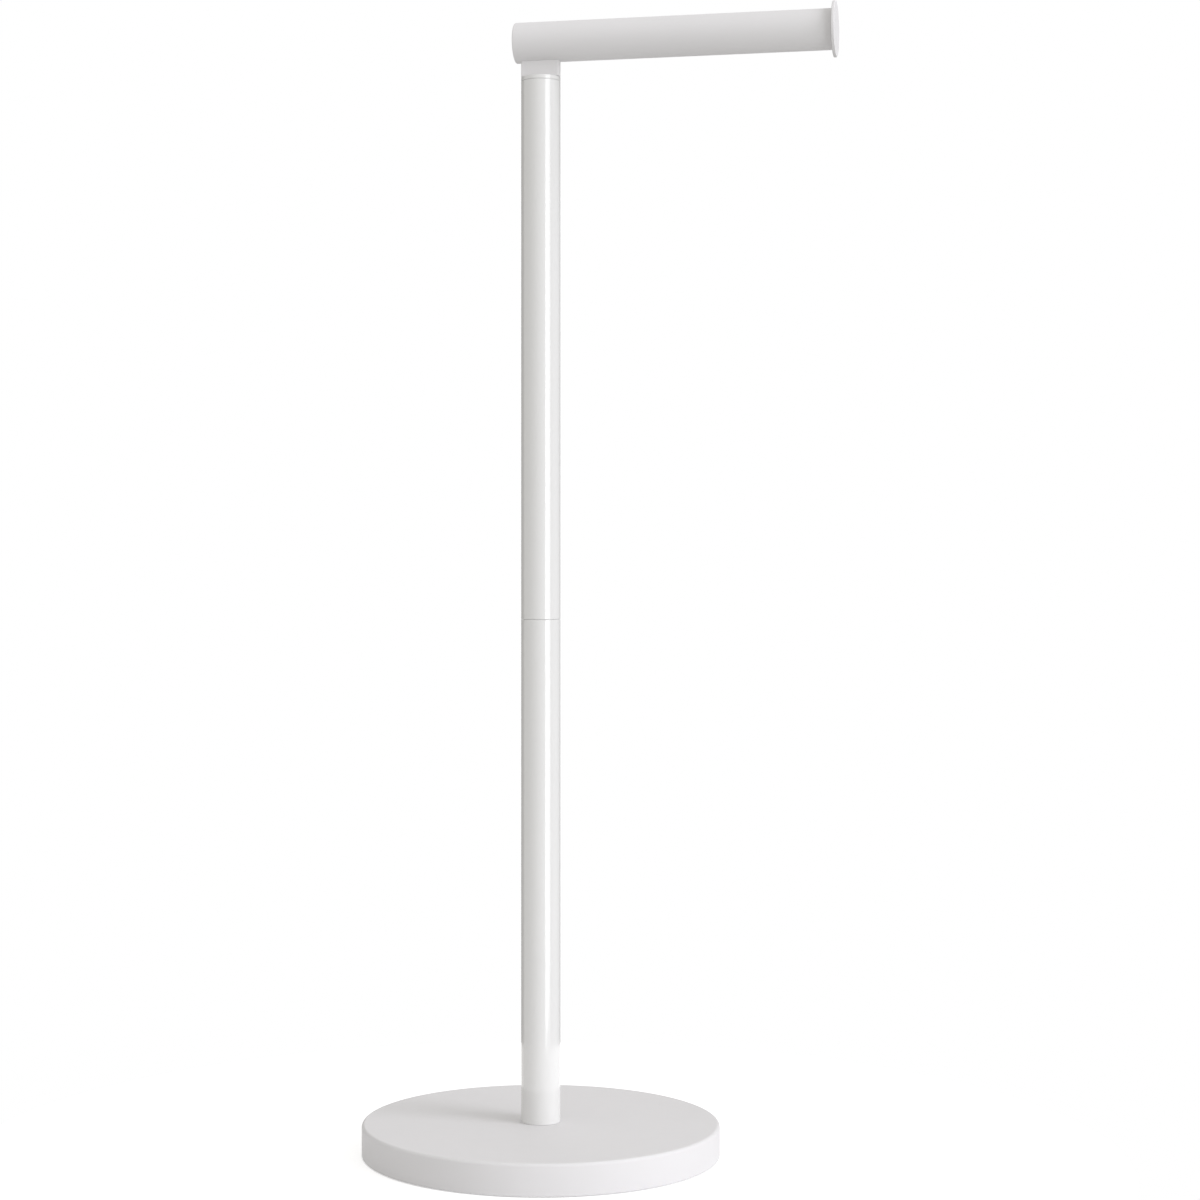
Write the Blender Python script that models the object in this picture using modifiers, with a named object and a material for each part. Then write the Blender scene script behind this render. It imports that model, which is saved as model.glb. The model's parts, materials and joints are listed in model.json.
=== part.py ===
# Freestanding toilet paper holder: a weighted disc base, a two-length tube post and a swivelling arm.
# Metres, +Z up. The origin is on the floor, on the post's axis, and the arm points along +X.

import math

import bmesh
import bpy
from mathutils import Matrix

MM = 0.001

# Base: a pressed shell over a cast disc, standing on an anti-slip pad
BASE_DIAMETER = 200.0 * MM
BASE_HEIGHT = 17.7 * MM
COVER_WALL = 1.2 * MM
COVER_EDGE_RADIUS = 1.8 * MM
COVER_RIM_LIFT = 0.4 * MM
PAD_THICKNESS = 2.5 * MM
PAD_INSET = 3.0 * MM
PAD_CHAMFER = 0.4 * MM

# Base screw, its washer and the pocket that holds them in the cast disc
BASE_BOLT_DIAMETER = 8.0 * MM
BASE_BOLT_HEAD_DIAMETER = 13.0 * MM
BASE_BOLT_HEAD_HEIGHT = 5.0 * MM
BASE_BOLT_SINK = 0.4 * MM
BASE_BOLT_KEY = 5.0 * MM
BASE_BOLT_KEY_DEPTH = 2.8 * MM
BASE_BOLT_GRIP = 14.0 * MM
BASE_BOLT_TIP_CHAMFER = 0.8 * MM
BASE_WASHER_DIAMETER = 20.0 * MM
BASE_WASHER_THICKNESS = 1.5 * MM

# Post: two tubes, one above the other, with threaded plugs at their ends
TUBE_DIAMETER = 22.0 * MM
TUBE_WALL = 1.2 * MM
TUBE_END_CHAMFER = 0.35 * MM
LOWER_TUBE_LENGTH = 280.7 * MM
UPPER_TUBE_LENGTH = 300.5 * MM
FOOT_PLUG_LENGTH = 22.0 * MM
JOINT_PLUG_LENGTH = 20.0 * MM
PLUG_CHAMFER = 0.8 * MM
PLUG_GROOVE_DEPTH = 0.7 * MM
PLUG_GROOVE_WIDTH = 2.0 * MM
JOINT_STUD_DIAMETER = 8.0 * MM
JOINT_STUD_LENGTH = 34.0 * MM
JOINT_STUD_KEY = 4.0 * MM
JOINT_STUD_KEY_DEPTH = 5.0 * MM
STUD_CHAMFER = 0.8 * MM

# Head plug: its flange is the collar, and its bore carries the neck's spigot
COLLAR_HEIGHT = 2.0 * MM
COLLAR_CHAMFER = 0.25 * MM
HEAD_PLUG_LENGTH = 24.0 * MM
SPIGOT_DIAMETER = 10.0 * MM
HEAD_PLUG_WALL = 1.2 * MM
BEARING_SINK = 1.2 * MM
SWIVEL_WASHER_THICKNESS = 1.0 * MM

# Swivel retention under the head plug
WAVE_WASHER_THICKNESS = 0.5 * MM
WAVE_WASHER_LIFT = 0.45 * MM
WAVE_COUNT = 3
RING_THICKNESS = 1.0 * MM
RING_GROOVE_DEPTH = 0.6 * MM
RING_BAND = 2.2 * MM
RING_EAR_RADIUS = 1.6 * MM
RING_EAR_HOLE_DIAMETER = 1.5 * MM
RING_OPENING = 3.4 * MM
RING_TUBE_CLEARANCE = 1.0 * MM
SPIGOT_TAIL = 2.5 * MM
SPIGOT_CHAMFER = 0.6 * MM

# Neck: a round bar with two flats and a saddle for the arm
NECK_HEIGHT = 8.0 * MM
NECK_FLATS = 6.8 * MM
NECK_CHAMFER = 0.25 * MM

# Arm: a plain tube, closed behind, with a flange in front
ARM_DIAMETER = 22.5 * MM
ARM_WALL = 1.2 * MM
ARM_REAR = 14.25 * MM
ARM_REACH = 163.1 * MM
ARM_EDGE_RADIUS = 0.5 * MM
END_PLUG_LENGTH = 4.0 * MM
END_PLUG_LIP = 1.6 * MM
END_PLUG_HOLLOW = 2.4 * MM
FLANGE_DIAMETER = 30.5 * MM
FLANGE_THICKNESS = 1.8 * MM
FLANGE_EDGE_RADIUS = 0.3 * MM
FLANGE_PLUG_LENGTH = 16.0 * MM
FLANGE_SPIGOT_DIAMETER = 10.0 * MM
FLANGE_SPIGOT_LENGTH = 11.0 * MM

# Clamp between neck and arm, inside the arm
NECK_STUD_DIAMETER = 4.0 * MM
NECK_STUD_SOCKET_DEPTH = 11.0 * MM
NECK_STUD_TIP = 1.2 * MM
NECK_STUD_CHAMFER = 0.4 * MM
SADDLE_WASHER_DIAMETER = 11.0 * MM
SADDLE_WASHER_THICKNESS = 2.4 * MM
NUT_ACROSS_FLATS = 7.0 * MM
NUT_HEIGHT = 3.2 * MM
NUT_CHAMFER = 0.4 * MM

# Clearances and cutting overrun
GAP = 0.3 * MM
OVERRUN = 2.0 * MM
MERGE_DISTANCE = 0.005 * MM

# Facets round a full turn, and along a rounded edge
BASE_STEPS = 96
INNER_BASE_STEPS = 64
TUBE_STEPS = 48
SMALL_STEPS = 24
SPRING_STEPS = 36
EAR_STEPS = 12
COVER_EDGE_STEPS = 4
COVER_BEND_STEPS = 2
FINE_EDGE_STEPS = 2
SMOOTH_ANGLE = math.radians(35.0)
HEXAGON = 6

# Radii and wall sizes worked out from the values above
BASE_RADIUS = BASE_DIAMETER / 2
TUBE_RADIUS = TUBE_DIAMETER / 2
TUBE_BORE_RADIUS = TUBE_RADIUS - TUBE_WALL
POST_PLUG_RADIUS = TUBE_BORE_RADIUS - GAP
RECESS_RADIUS = POST_PLUG_RADIUS - HEAD_PLUG_WALL
BEARING_RADIUS = RECESS_RADIUS - GAP
ARM_RADIUS = ARM_DIAMETER / 2
ARM_BORE_RADIUS = ARM_RADIUS - ARM_WALL
ARM_PLUG_RADIUS = ARM_BORE_RADIUS - GAP
SPIGOT_RADIUS = SPIGOT_DIAMETER / 2
RING_GROOVE_RADIUS = SPIGOT_RADIUS - RING_GROOVE_DEPTH
NECK_STUD_RADIUS = NECK_STUD_DIAMETER / 2

# Heights, stacked from the floor up
WEIGHT_BOTTOM = PAD_THICKNESS + GAP
WEIGHT_TOP = BASE_HEIGHT - COVER_WALL - GAP
BOLT_HEAD_BOTTOM = WEIGHT_BOTTOM + BASE_BOLT_SINK
BOLT_HEAD_TOP = BOLT_HEAD_BOTTOM + BASE_BOLT_HEAD_HEIGHT
BASE_WASHER_BOTTOM = BOLT_HEAD_TOP + GAP
BASE_WASHER_TOP = BASE_WASHER_BOTTOM + BASE_WASHER_THICKNESS
POCKET_TOP = BASE_WASHER_TOP + GAP
LOWER_TUBE_BOTTOM = BASE_HEIGHT + GAP
LOWER_TUBE_TOP = LOWER_TUBE_BOTTOM + LOWER_TUBE_LENGTH
UPPER_TUBE_BOTTOM = LOWER_TUBE_TOP + GAP
UPPER_TUBE_TOP = UPPER_TUBE_BOTTOM + UPPER_TUBE_LENGTH
SEAM_HEIGHT = (LOWER_TUBE_TOP + UPPER_TUBE_BOTTOM) / 2
COLLAR_BOTTOM = UPPER_TUBE_TOP + GAP
COLLAR_TOP = COLLAR_BOTTOM + COLLAR_HEIGHT
HEAD_PLUG_BOTTOM = COLLAR_BOTTOM - HEAD_PLUG_LENGTH
BEARING_BOTTOM = COLLAR_TOP - BEARING_SINK
SWIVEL_WASHER_TOP = BEARING_BOTTOM - GAP
SWIVEL_WASHER_BOTTOM = SWIVEL_WASHER_TOP - SWIVEL_WASHER_THICKNESS
RECESS_BOTTOM = SWIVEL_WASHER_BOTTOM - GAP
NECK_BOTTOM = COLLAR_TOP + GAP
ARM_AXIS_HEIGHT = NECK_BOTTOM + NECK_HEIGHT + GAP + ARM_RADIUS
WAVE_MIDDLE = HEAD_PLUG_BOTTOM - GAP - WAVE_WASHER_LIFT - WAVE_WASHER_THICKNESS / 2
WAVE_BOTTOM = WAVE_MIDDLE - WAVE_WASHER_LIFT - WAVE_WASHER_THICKNESS / 2
RING_TOP = WAVE_BOTTOM - GAP
RING_BOTTOM = RING_TOP - RING_THICKNESS
SPIGOT_BOTTOM = RING_BOTTOM - GAP - SPIGOT_TAIL
STUD_SOCKET_BOTTOM = NECK_BOTTOM + NECK_HEIGHT - NECK_STUD_SOCKET_DEPTH
SADDLE_BOTTOM = ARM_AXIS_HEIGHT - ARM_BORE_RADIUS + GAP
SADDLE_TOP = SADDLE_BOTTOM + SADDLE_WASHER_THICKNESS
NUT_BOTTOM = SADDLE_TOP + GAP
NUT_TOP = NUT_BOTTOM + NUT_HEIGHT

# Colours and surface values, one entry for each finish
FINISHES = {
    "matt_white": ((0.71, 0.70, 0.70), 0.55, 0.0),
    "gloss_white": ((0.74, 0.74, 0.72), 0.18, 0.0),
    "cast_grey": ((0.16, 0.16, 0.17), 0.65, 0.8),
    "zinc_steel": ((0.55, 0.56, 0.58), 0.35, 1.0),
    "spring_steel": ((0.30, 0.31, 0.33), 0.30, 1.0),
    "white_nylon": ((0.80, 0.79, 0.76), 0.45, 0.0),
    "grey_rubber": ((0.12, 0.12, 0.12), 0.80, 0.0),
}


def clear_scene():
    """Remove every object that the file opened with."""
    for thing in list(bpy.data.objects):
        bpy.data.objects.remove(thing, do_unlink=True)


def new_collection(name):
    """A collection under the scene's own."""
    group = bpy.data.collections.new(name)
    bpy.context.scene.collection.children.link(group)
    return group


def finish_material(piece_name, finish):
    """A Principled material for one piece, in one of the finishes."""
    colour, roughness, metallic = FINISHES[finish]
    material = bpy.data.materials.new(piece_name + "_" + finish)
    material.use_nodes = True
    shader = material.node_tree.nodes["Principled BSDF"]
    shader.inputs["Base Color"].default_value = (*colour, 1.0)
    shader.inputs["Roughness"].default_value = roughness
    shader.inputs["Metallic"].default_value = metallic
    material.diffuse_color = (*colour, 1.0)
    return material


def add_piece(name, mesh, finish, carrier):
    """Put a mesh into the model as one named piece under its carrier."""
    piece = bpy.data.objects.new(name, mesh)
    PIECES.objects.link(piece)
    mesh.materials.append(finish_material(name, finish))
    piece.parent = carrier
    return piece


def smooth_round(mesh):
    """Smooth shading with crisp edges kept."""
    mesh.shade_smooth()
    mesh.set_sharp_from_angle(angle=SMOOTH_ANGLE)


def profile_mesh(name, profile, closed):
    """A chain of edges in the XZ plane from (radius, height) pairs."""
    corners = [(radius, 0.0, height) for radius, height in profile]
    links = [(index, index + 1) for index in range(len(corners) - 1)]
    if closed:
        links.append((len(corners) - 1, 0))
    mesh = bpy.data.meshes.new(name)
    mesh.from_pydata(corners, links, [])
    return mesh


def turned_mesh(name, profile, steps, closed=True):
    """Turn a profile about Z with a Screw modifier and return the finished mesh."""
    turned = bpy.data.objects.new(name + "_profile", profile_mesh(name + "_profile", profile, closed))
    CUTTERS.objects.link(turned)
    screw = turned.modifiers.new("turn", "SCREW")
    screw.axis = "Z"
    screw.angle = math.tau
    screw.steps = steps
    screw.render_steps = steps
    screw.use_merge_vertices = True
    screw.merge_threshold = MERGE_DISTANCE
    mesh = evaluated_mesh(turned, name)
    smooth_round(mesh)
    return mesh


def evaluated_mesh(source, name):
    """The mesh of an object with its modifiers applied; the object itself is removed."""
    bpy.context.view_layer.update()
    depsgraph = bpy.context.evaluated_depsgraph_get()
    mesh = bpy.data.meshes.new_from_object(source.evaluated_get(depsgraph))
    mesh.name = name
    bpy.data.objects.remove(source, do_unlink=True)
    return mesh


def turned_piece(name, profile, steps, finish, carrier, closed=True):
    """A turned piece, standing on the Z axis."""
    return add_piece(name, turned_mesh(name, profile, steps, closed), finish, carrier)


def cutter_from_mesh(name, mesh):
    """A hidden wire object that cuts others."""
    cutter = bpy.data.objects.new(name, mesh)
    cutter.hide_render = True
    cutter.display_type = "WIRE"
    CUTTERS.objects.link(cutter)
    return cutter


def prism_mesh(name, radius, bottom, top, sides):
    """A closed prism or cylinder about Z between two heights."""
    mesh = bpy.data.meshes.new(name)
    shape = bmesh.new()
    middle = Matrix.Translation((0.0, 0.0, (top + bottom) / 2))
    size = {"radius1": radius, "radius2": radius, "depth": top - bottom}
    bmesh.ops.create_cone(shape, cap_ends=True, segments=sides, matrix=middle, **size)
    shape.to_mesh(mesh)
    shape.free()
    return mesh


def box_mesh(name, low, high):
    """A closed box between two corners."""
    mesh = bpy.data.meshes.new(name)
    shape = bmesh.new()
    middle = [(near + far) / 2 for near, far in zip(low, high)]
    size = [far - near for near, far in zip(low, high)]
    bmesh.ops.create_cube(shape, size=1.0, matrix=Matrix.Translation(middle) @ Matrix.Diagonal((*size, 1.0)))
    shape.to_mesh(mesh)
    shape.free()
    return mesh


def combine(piece, cutter, operation="DIFFERENCE"):
    """Cut one piece by a cutter, or keep what they share."""
    boolean = piece.modifiers.new(cutter.name, "BOOLEAN")
    boolean.operation = operation
    boolean.solver = "EXACT"
    boolean.object = cutter


def along_arm(thing):
    """Lay an object turned about Z down along the arm, its top end in front."""
    thing.rotation_euler = (0.0, math.pi / 2, 0.0)
    thing.location = (0.0, 0.0, ARM_AXIS_HEIGHT)


def arc(centre_radius, centre_height, radius, start, end, steps):
    """Points on an arc in the XZ plane, angles in degrees from +X towards +Z."""
    points = []
    for index in range(steps + 1):
        angle = math.radians(start + (end - start) * index / steps)
        points.append((centre_radius + radius * math.cos(angle), centre_height + radius * math.sin(angle)))
    return points


def ring_profile(outer, inner, bottom, top, chamfer=0.0):
    """A closed section with a bore: down the outer side, then up the bore."""
    if chamfer > 0.0:
        side = [
            (outer - chamfer, top),
            (outer, top - chamfer),
            (outer, bottom + chamfer),
            (outer - chamfer, bottom),
        ]
    else:
        side = [(outer, top), (outer, bottom)]
    return side + [(inner, bottom), (inner, top)]


def base_cover(carrier):
    """Pressed shell: flat top, rounded edge and skirt, with a hole for the base screw."""
    inner_edge = COVER_EDGE_RADIUS - COVER_WALL
    corner_radius = BASE_RADIUS - COVER_EDGE_RADIUS
    corner_height = BASE_HEIGHT - COVER_EDGE_RADIUS
    hole_radius = BASE_BOLT_DIAMETER / 2 + GAP
    profile = [(hole_radius, BASE_HEIGHT)]
    profile += arc(corner_radius, corner_height, COVER_EDGE_RADIUS, 90.0, 0.0, COVER_EDGE_STEPS)
    profile.append((BASE_RADIUS, COVER_RIM_LIFT))
    profile.append((BASE_RADIUS - COVER_WALL, COVER_RIM_LIFT))
    profile += arc(corner_radius, corner_height, inner_edge, 0.0, 90.0, COVER_BEND_STEPS)
    profile.append((hole_radius, BASE_HEIGHT - COVER_WALL))
    return turned_piece("base_cover", profile, BASE_STEPS, "matt_white", carrier)


def base_weight(carrier):
    """Cast disc that fills the shell, with a pocket below for the screw's head and washer."""
    outer = BASE_RADIUS - COVER_WALL - GAP
    edge = COVER_EDGE_RADIUS
    hole_radius = BASE_BOLT_DIAMETER / 2 + GAP
    pocket_radius = BASE_WASHER_DIAMETER / 2 + GAP
    profile = [
        (hole_radius, WEIGHT_TOP),
        (outer - edge, WEIGHT_TOP),
        (outer, WEIGHT_TOP - edge),
        (outer, WEIGHT_BOTTOM),
        (pocket_radius, WEIGHT_BOTTOM),
        (pocket_radius, POCKET_TOP),
        (hole_radius, POCKET_TOP),
    ]
    return turned_piece("base_weight", profile, INNER_BASE_STEPS, "cast_grey", carrier)


def base_pad(carrier):
    """Anti-slip disc glued under the weight; it covers the screw's pocket and meets the floor."""
    outer = BASE_RADIUS - PAD_INSET
    profile = [
        (0.0, PAD_THICKNESS),
        (outer, PAD_THICKNESS),
        (outer, PAD_CHAMFER),
        (outer - PAD_CHAMFER, 0.0),
        (0.0, 0.0),
    ]
    return turned_piece("base_pad", profile, INNER_BASE_STEPS, "grey_rubber", carrier, closed=False)


def base_washer(carrier):
    """Plate washer between the screw's head and the weight."""
    profile = ring_profile(
        BASE_WASHER_DIAMETER / 2, BASE_BOLT_DIAMETER / 2 + GAP, BASE_WASHER_BOTTOM, BASE_WASHER_TOP
    )
    return turned_piece("base_washer", profile, SMALL_STEPS, "zinc_steel", carrier)


def base_bolt(carrier):
    """Cap screw with a hexagon key socket, pointing up into the post's foot."""
    head = BASE_BOLT_HEAD_DIAMETER / 2
    shank = BASE_BOLT_DIAMETER / 2
    tip = LOWER_TUBE_BOTTOM + BASE_BOLT_GRIP
    profile = [
        (0.0, tip),
        (shank - BASE_BOLT_TIP_CHAMFER, tip),
        (shank, tip - BASE_BOLT_TIP_CHAMFER),
        (shank, BOLT_HEAD_TOP),
        (head, BOLT_HEAD_TOP),
        (head, BOLT_HEAD_BOTTOM),
        (0.0, BOLT_HEAD_BOTTOM),
    ]
    bolt = turned_piece("base_bolt", profile, SMALL_STEPS, "zinc_steel", carrier, closed=False)
    key_radius = BASE_BOLT_KEY / 2 / math.cos(math.pi / HEXAGON)
    key_top = BOLT_HEAD_BOTTOM + BASE_BOLT_KEY_DEPTH
    key = prism_mesh("base_bolt_key", key_radius, BOLT_HEAD_BOTTOM - OVERRUN, key_top, HEXAGON)
    combine(bolt, cutter_from_mesh("base_bolt_key", key))
    return bolt


def post_tube(name, bottom, top, carrier):
    """One length of the post, with a fine chamfer at both ends."""
    profile = ring_profile(TUBE_RADIUS, TUBE_BORE_RADIUS, bottom, top, chamfer=TUBE_END_CHAMFER)
    return turned_piece(name, profile, TUBE_STEPS, "gloss_white", carrier)


def threaded_plug(name, outer, bore, bottom, top, carrier):
    """Plug pressed into a tube: chamfered ends, and one groove round its middle."""
    middle = (bottom + top) / 2
    groove = outer - PLUG_GROOVE_DEPTH
    profile = [
        (outer - PLUG_CHAMFER, top),
        (outer, top - PLUG_CHAMFER),
        (outer, middle + PLUG_GROOVE_WIDTH / 2),
        (groove, middle + PLUG_GROOVE_WIDTH / 2),
        (groove, middle - PLUG_GROOVE_WIDTH / 2),
        (outer, middle - PLUG_GROOVE_WIDTH / 2),
        (outer, bottom + PLUG_CHAMFER),
        (outer - PLUG_CHAMFER, bottom),
        (bore, bottom),
        (bore, top),
    ]
    return turned_piece(name, profile, SMALL_STEPS, "zinc_steel", carrier)


def post_plugs(carrier):
    """The three threaded plugs of the post: at its foot, and either side of the seam."""
    outer = POST_PLUG_RADIUS
    foot_bore = BASE_BOLT_DIAMETER / 2 + GAP
    stud_bore = JOINT_STUD_DIAMETER / 2 + GAP
    foot_top = LOWER_TUBE_BOTTOM + FOOT_PLUG_LENGTH
    threaded_plug("foot_plug", outer, foot_bore, LOWER_TUBE_BOTTOM, foot_top, carrier)
    lower_bottom = LOWER_TUBE_TOP - JOINT_PLUG_LENGTH
    threaded_plug("lower_joint_plug", outer, stud_bore, lower_bottom, LOWER_TUBE_TOP, carrier)
    upper_top = UPPER_TUBE_BOTTOM + JOINT_PLUG_LENGTH
    threaded_plug("upper_joint_plug", outer, stud_bore, UPPER_TUBE_BOTTOM, upper_top, carrier)


def joint_stud(carrier):
    """Stud across the seam, with a hexagon key socket in its top end."""
    radius = JOINT_STUD_DIAMETER / 2
    bottom = SEAM_HEIGHT - JOINT_STUD_LENGTH / 2
    top = SEAM_HEIGHT + JOINT_STUD_LENGTH / 2
    profile = [
        (0.0, top),
        (radius - STUD_CHAMFER, top),
        (radius, top - STUD_CHAMFER),
        (radius, bottom + STUD_CHAMFER),
        (radius - STUD_CHAMFER, bottom),
        (0.0, bottom),
    ]
    stud = turned_piece("joint_stud", profile, SMALL_STEPS, "zinc_steel", carrier, closed=False)
    key_radius = JOINT_STUD_KEY / 2 / math.cos(math.pi / HEXAGON)
    key = prism_mesh("joint_stud_key", key_radius, top - JOINT_STUD_KEY_DEPTH, top + OVERRUN, HEXAGON)
    combine(stud, cutter_from_mesh("joint_stud_key", key))
    return stud


def head_plug(carrier):
    """Plug in the post's top. Its flange is the collar, and its top is sunk for the neck's bearing disc."""
    outer = POST_PLUG_RADIUS
    bore = SPIGOT_RADIUS + GAP
    profile = [
        (TUBE_RADIUS - COLLAR_CHAMFER, COLLAR_TOP),
        (TUBE_RADIUS, COLLAR_TOP - COLLAR_CHAMFER),
        (TUBE_RADIUS, COLLAR_BOTTOM + COLLAR_CHAMFER),
        (TUBE_RADIUS - COLLAR_CHAMFER, COLLAR_BOTTOM),
        (outer, COLLAR_BOTTOM),
        (outer, HEAD_PLUG_BOTTOM + PLUG_CHAMFER),
        (outer - PLUG_CHAMFER, HEAD_PLUG_BOTTOM),
        (bore, HEAD_PLUG_BOTTOM),
        (bore, RECESS_BOTTOM),
        (RECESS_RADIUS, RECESS_BOTTOM),
        (RECESS_RADIUS, COLLAR_TOP),
    ]
    return turned_piece("head_plug", profile, TUBE_STEPS, "gloss_white", carrier)


def swivel_washer(carrier):
    """Slip washer between the head plug's recess and the neck's bearing disc."""
    profile = ring_profile(BEARING_RADIUS, SPIGOT_RADIUS + GAP, SWIVEL_WASHER_BOTTOM, SWIVEL_WASHER_TOP)
    return turned_piece("swivel_washer", profile, SMALL_STEPS, "white_nylon", carrier)


def wave_washer(carrier):
    """Spring washer: a flat ring whose height rises and falls round its turn."""
    half = WAVE_WASHER_THICKNESS / 2
    profile = ring_profile(BEARING_RADIUS, SPIGOT_RADIUS + GAP, -half, half)
    mesh = turned_mesh("wave_washer", profile, SPRING_STEPS)
    for corner in mesh.vertices:
        turn = math.atan2(corner.co.y, corner.co.x)
        corner.co.z += WAVE_MIDDLE + WAVE_WASHER_LIFT * math.cos(WAVE_COUNT * turn)
    return add_piece("wave_washer", mesh, "spring_steel", carrier)


def retaining_ring(carrier):
    """Open ring in the spigot's groove, with two ears for pliers that pass down the tube's bore."""
    inner = RING_GROOVE_RADIUS + GAP
    outer = inner + RING_BAND
    cut_bottom = RING_BOTTOM - OVERRUN
    cut_top = RING_TOP + OVERRUN
    ear_distance = TUBE_BORE_RADIUS - RING_TUBE_CLEARANCE - RING_EAR_RADIUS
    ear_shift = RING_OPENING / 2 + RING_EAR_RADIUS
    ear_reach = math.sqrt(ear_distance**2 - ear_shift**2)
    section = ring_profile(outer, inner, RING_BOTTOM, RING_TOP)
    ring = turned_piece("retaining_ring", section, SPRING_STEPS, "spring_steel", carrier)
    lug_low = (0.0, -ear_shift - RING_EAR_RADIUS, RING_BOTTOM)
    lug_high = (ear_reach, ear_shift + RING_EAR_RADIUS, RING_TOP)
    combine(ring, cutter_from_mesh("ring_lugs", box_mesh("ring_lugs", lug_low, lug_high)), "UNION")
    for label, side in (("left", 1), ("right", -1)):
        ear_place = (ear_reach, side * ear_shift, 0.0)
        ear_mesh = prism_mesh("ring_ear_" + label, RING_EAR_RADIUS, RING_BOTTOM, RING_TOP, EAR_STEPS)
        ear = cutter_from_mesh("ring_ear_" + label, ear_mesh)
        ear.location = ear_place
        combine(ring, ear, "UNION")
        hole_mesh = prism_mesh(
            "ring_hole_" + label, RING_EAR_HOLE_DIAMETER / 2, cut_bottom, cut_top, EAR_STEPS
        )
        hole = cutter_from_mesh("ring_hole_" + label, hole_mesh)
        hole.location = ear_place
        combine(ring, hole)
    opening_low = (0.0, -RING_OPENING / 2, cut_bottom)
    opening_high = (TUBE_BORE_RADIUS, RING_OPENING / 2, cut_top)
    opening = cutter_from_mesh("ring_opening", box_mesh("ring_opening", opening_low, opening_high))
    combine(ring, opening)
    shaft = prism_mesh("ring_shaft", inner, cut_bottom, cut_top, SPRING_STEPS)
    combine(ring, cutter_from_mesh("ring_shaft", shaft))
    return ring


def neck(carrier):
    """Round bar with two flats above the collar, a saddle on top and a grooved spigot below."""
    groove_top = RING_TOP + GAP
    groove_bottom = RING_BOTTOM - GAP
    profile = [
        (0.0, ARM_AXIS_HEIGHT),
        (TUBE_RADIUS, ARM_AXIS_HEIGHT),
        (TUBE_RADIUS, NECK_BOTTOM + NECK_CHAMFER),
        (TUBE_RADIUS - NECK_CHAMFER, NECK_BOTTOM),
        (BEARING_RADIUS, NECK_BOTTOM),
        (BEARING_RADIUS, BEARING_BOTTOM),
        (SPIGOT_RADIUS, BEARING_BOTTOM),
        (SPIGOT_RADIUS, groove_top),
        (RING_GROOVE_RADIUS, groove_top),
        (RING_GROOVE_RADIUS, groove_bottom),
        (SPIGOT_RADIUS, groove_bottom),
        (SPIGOT_RADIUS, SPIGOT_BOTTOM + SPIGOT_CHAMFER),
        (SPIGOT_RADIUS - SPIGOT_CHAMFER, SPIGOT_BOTTOM),
        (0.0, SPIGOT_BOTTOM),
    ]
    bar = turned_piece("neck", profile, TUBE_STEPS, "matt_white", carrier, closed=False)
    reach = TUBE_RADIUS + OVERRUN
    flat = NECK_FLATS / 2
    flat_top = ARM_AXIS_HEIGHT + OVERRUN
    back = box_mesh("neck_flat_back", (-reach, flat, COLLAR_TOP), (reach, reach, flat_top))
    combine(bar, cutter_from_mesh("neck_flat_back", back))
    front = box_mesh("neck_flat_front", (-reach, -reach, COLLAR_TOP), (reach, -flat, flat_top))
    combine(bar, cutter_from_mesh("neck_flat_front", front))
    saddle_mesh = prism_mesh("neck_saddle", ARM_RADIUS + GAP, -reach, reach, TUBE_STEPS)
    saddle = cutter_from_mesh("neck_saddle", saddle_mesh)
    along_arm(saddle)
    combine(bar, saddle)
    socket_radius = NECK_STUD_RADIUS + GAP
    socket = prism_mesh("neck_socket", socket_radius, STUD_SOCKET_BOTTOM, ARM_AXIS_HEIGHT, SMALL_STEPS)
    combine(bar, cutter_from_mesh("neck_socket", socket))
    return bar


def arm_tube(carrier):
    """The arm: a plain tube with a softly rounded rear edge and a hole below for the stud."""
    profile = [(ARM_RADIUS - TUBE_END_CHAMFER, ARM_REACH), (ARM_RADIUS, ARM_REACH - TUBE_END_CHAMFER)]
    edge_radius = ARM_RADIUS - ARM_EDGE_RADIUS
    edge_height = -ARM_REAR + ARM_EDGE_RADIUS
    profile += arc(edge_radius, edge_height, ARM_EDGE_RADIUS, 0.0, -90.0, FINE_EDGE_STEPS)
    profile.append((ARM_BORE_RADIUS, -ARM_REAR))
    profile.append((ARM_BORE_RADIUS, ARM_REACH))
    tube = turned_piece("arm_tube", profile, TUBE_STEPS, "matt_white", carrier)
    along_arm(tube)
    hole_radius = NECK_STUD_RADIUS + GAP
    hole = prism_mesh("arm_stud_hole", hole_radius, NECK_BOTTOM, ARM_AXIS_HEIGHT, SMALL_STEPS)
    combine(tube, cutter_from_mesh("arm_stud_hole", hole))
    return tube


def arm_end_plug(carrier):
    """Cup pressed into the arm's rear end, its closed face flush with the tube."""
    outer = ARM_PLUG_RADIUS
    lip = outer - END_PLUG_LIP
    front = -ARM_REAR + END_PLUG_LENGTH
    floor = front - END_PLUG_HOLLOW
    profile = [
        (0.0, floor),
        (lip, floor),
        (lip, front),
        (outer, front),
        (outer, -ARM_REAR),
        (0.0, -ARM_REAR),
    ]
    plug = turned_piece("arm_end_plug", profile, TUBE_STEPS, "matt_white", carrier, closed=False)
    along_arm(plug)
    return plug


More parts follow.
